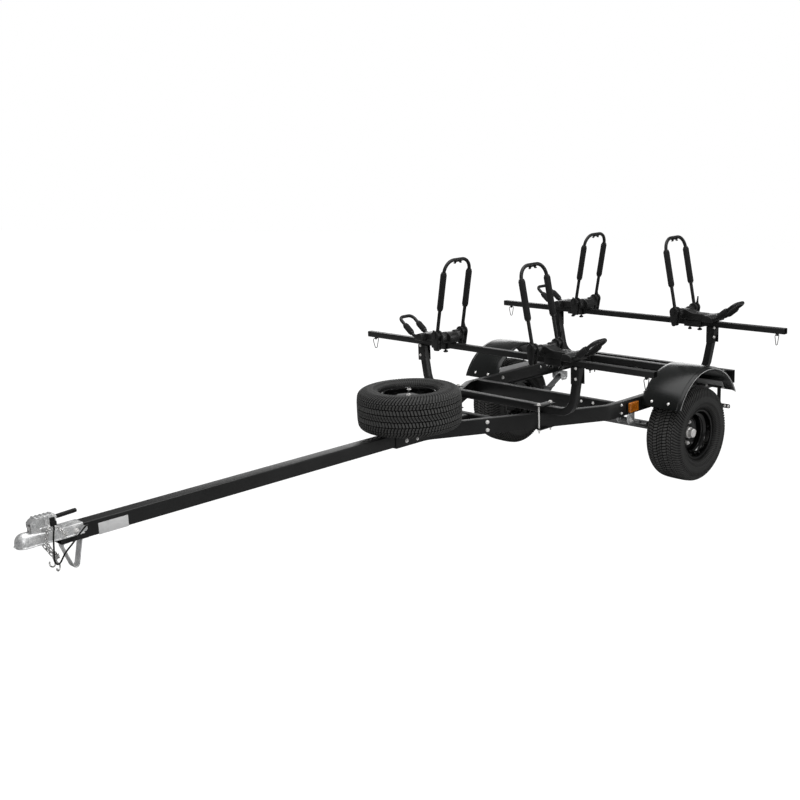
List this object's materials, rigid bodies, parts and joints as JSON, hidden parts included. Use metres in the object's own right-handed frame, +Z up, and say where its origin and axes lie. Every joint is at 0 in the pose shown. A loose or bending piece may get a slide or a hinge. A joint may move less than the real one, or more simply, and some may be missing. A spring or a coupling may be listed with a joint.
{
  "type": "kayak trailer",
  "caption": "Kayak trailer with a long tube tongue, leaf-sprung axle, crossbars on bent yokes, folding J-cradles, spare wheel and ball coupler.",
  "frame": {"origin": "on the ground, under the middle of the trailer's width and length", "axes": "+X towards the trailer's left side, -Y forward towards the coupler, +Z up; the chassis is pitched nose-down by about 5.3 degrees to rest on its strap foot"},
  "size_m": [1.981, 4.1616, 1.3056],
  "materials": {
    "tyre_rubber": "moulded charcoal rubber",
    "gloss_black_steel": "gloss black paint",
    "zinc_plated_steel": "bright zinc plating",
    "galvanised_steel": "galvanised, slightly dull",
    "grey_painted_steel": "grey paint",
    "fender_plastic": "fine satin plastic",
    "rack_plastic": "moulded satin plastic",
    "foam_covered_tube": "black foam sleeves over black tube",
    "amber_lens": "amber reflector lens",
    "red_lens": "dark red lens",
    "cable_rubber": "matt black cable",
    "black_powder_coat": "satin black powder coat"
  },
  "bodies": {
    "chassis": {"coupler_housing": "galvanised_steel", "fender_brace_left": "grey_painted_steel", "fender_brace_right": "grey_painted_steel", "fender_left": "fender_plastic", "fender_right": "fender_plastic", "front_cross_member": "black_powder_coat", "front_crossbar": "black_powder_coat", "front_yoke": "black_powder_coat", "leaf_spring_left": "grey_painted_steel", "leaf_spring_right": "grey_painted_steel", "rack_base_front_left": "rack_plastic", "rack_base_front_right": "rack_plastic", "rack_base_rear_left": "rack_plastic", "rack_base_rear_right": "rack_plastic", "rack_short_arm_front_left": "foam_covered_tube", "rack_short_arm_front_right": "foam_covered_tube", "rack_short_arm_rear_left": "foam_covered_tube", "rack_short_arm_rear_right": "foam_covered_tube", "rear_cross_member": "black_powder_coat", "rear_cross_tube": "black_powder_coat", "rear_crossbar": "black_powder_coat", "rear_yoke": "black_powder_coat", "safety_chain": "zinc_plated_steel", "side_marker_left": "amber_lens", "side_marker_right": "amber_lens", "side_rail_left": "black_powder_coat", "side_rail_right": "black_powder_coat", "spare_carrier": "black_powder_coat", "spare_rim": "gloss_black_steel", "spare_tyre": "tyre_rubber", "spring_hanger_front_left": "galvanised_steel", "spring_hanger_front_right": "galvanised_steel", "spring_hanger_rear_left": "galvanised_steel", "spring_hanger_rear_right": "galvanised_steel", "tail_lamp_left": "red_lens", "tail_lamp_right": "red_lens", "tongue_cross_brace": "black_powder_coat", "tongue_stand": "galvanised_steel", "tongue_tube": "black_powder_coat", "wiring_harness": "cable_rubber", "wiring_plug": "cable_rubber", "yoke_clamp_left": "zinc_plated_steel", "yoke_clamp_right": "zinc_plated_steel"},
    "axle": {"axle_beam": "grey_painted_steel"},
    "wheel_left": {"tyre_left": "tyre_rubber", "rim_left": "gloss_black_steel", "hub_left": "zinc_plated_steel"},
    "wheel_right": {"tyre_right": "tyre_rubber", "rim_right": "gloss_black_steel", "hub_right": "zinc_plated_steel"},
    "latch_lever": {"coupler_latch_lever": "galvanised_steel"},
    "ball_clamp": {"coupler_ball_clamp": "zinc_plated_steel"},
    "cradle_hoop_front_left": {"rack_hoop_front_left": "foam_covered_tube"},
    "ring_front_left": {"tie_ring_front_left": "zinc_plated_steel"},
    "cradle_hoop_front_right": {"rack_hoop_front_right": "foam_covered_tube"},
    "ring_front_right": {"tie_ring_front_right": "zinc_plated_steel"},
    "cradle_hoop_rear_left": {"rack_hoop_rear_left": "foam_covered_tube"},
    "ring_rear_left": {"tie_ring_rear_left": "zinc_plated_steel"},
    "cradle_hoop_rear_right": {"rack_hoop_rear_right": "foam_covered_tube"},
    "ring_rear_right": {"tie_ring_rear_right": "zinc_plated_steel"}
  },
  "joints": [
    {"name": "suspension_travel", "type": "slide", "parent": "chassis", "child": "axle", "axis": [0, -0.0926, 0.9957], "range_m": [0, 0.03], "stiffness_N_per_m": 60000, "springref_m": -0.05, "deforming": ["leaf_spring_left", "leaf_spring_right"]},
    {"name": "wheel_spin_left", "type": "hinge", "parent": "axle", "child": "wheel_left", "pos_m": [0.631, 1.43456, 0.25871], "axis": [1, 0, 0], "continuous": true},
    {"name": "wheel_spin_right", "type": "hinge", "parent": "axle", "child": "wheel_right", "pos_m": [-0.631, 1.43456, 0.25871], "axis": [1, 0, 0], "continuous": true},
    {"name": "latch_lift", "type": "hinge", "parent": "chassis", "child": "latch_lever", "pos_m": [0, -2.01163, 0.19797], "axis": [1, 0, 0], "range_deg": [0, 70]},
    {"name": "ball_clamp_slide", "type": "slide", "parent": "chassis", "child": "ball_clamp", "axis": [0, 0.9957, 0.0926], "range_m": [0, 0.008]},
    {"name": "cradle_fold_front_left", "type": "hinge", "parent": "chassis", "child": "cradle_hoop_front_left", "pos_m": [0.335, 0.56318, 0.75127], "axis": [0, 0.9957, 0.0926], "range_deg": [0, 100]},
    {"name": "ring_swing_front_left", "type": "hinge", "parent": "chassis", "child": "ring_front_left", "pos_m": [0.94, 0.5715, 0.6619], "axis": [0, 0.9957, 0.0926], "range_deg": [-55, 55]},
    {"name": "cradle_fold_front_right", "type": "hinge", "parent": "chassis", "child": "cradle_hoop_front_right", "pos_m": [-0.335, 0.56318, 0.75127], "axis": [0, -0.9957, -0.0926], "range_deg": [0, 100]},
    {"name": "ring_swing_front_right", "type": "hinge", "parent": "chassis", "child": "ring_front_right", "pos_m": [-0.94, 0.5715, 0.6619], "axis": [0, 0.9957, 0.0926], "range_deg": [-55, 55]},
    {"name": "cradle_fold_rear_left", "type": "hinge", "parent": "chassis", "child": "cradle_hoop_rear_left", "pos_m": [0.37, 1.75005, 0.88982], "axis": [0, 0.9957, 0.0926], "range_deg": [0, 100]},
    {"name": "ring_swing_rear_left", "type": "hinge", "parent": "chassis", "child": "ring_rear_left", "pos_m": [0.94, 1.75836, 0.80045], "axis": [0, 0.9957, 0.0926], "range_deg": [-55, 55]},
    {"name": "cradle_fold_rear_right", "type": "hinge", "parent": "chassis", "child": "cradle_hoop_rear_right", "pos_m": [-0.335, 1.75005, 0.88982], "axis": [0, -0.9957, -0.0926], "range_deg": [0, 100]},
    {"name": "ring_swing_rear_right", "type": "hinge", "parent": "chassis", "child": "ring_rear_right", "pos_m": [-0.94, 1.75836, 0.80045], "axis": [0, 0.9957, 0.0926], "range_deg": [-55, 55]}
  ],
  "couplings": [
    {"joint": "ball_clamp_slide", "follows": "latch_lift", "m_per_rad": 0.006548}
  ]
}
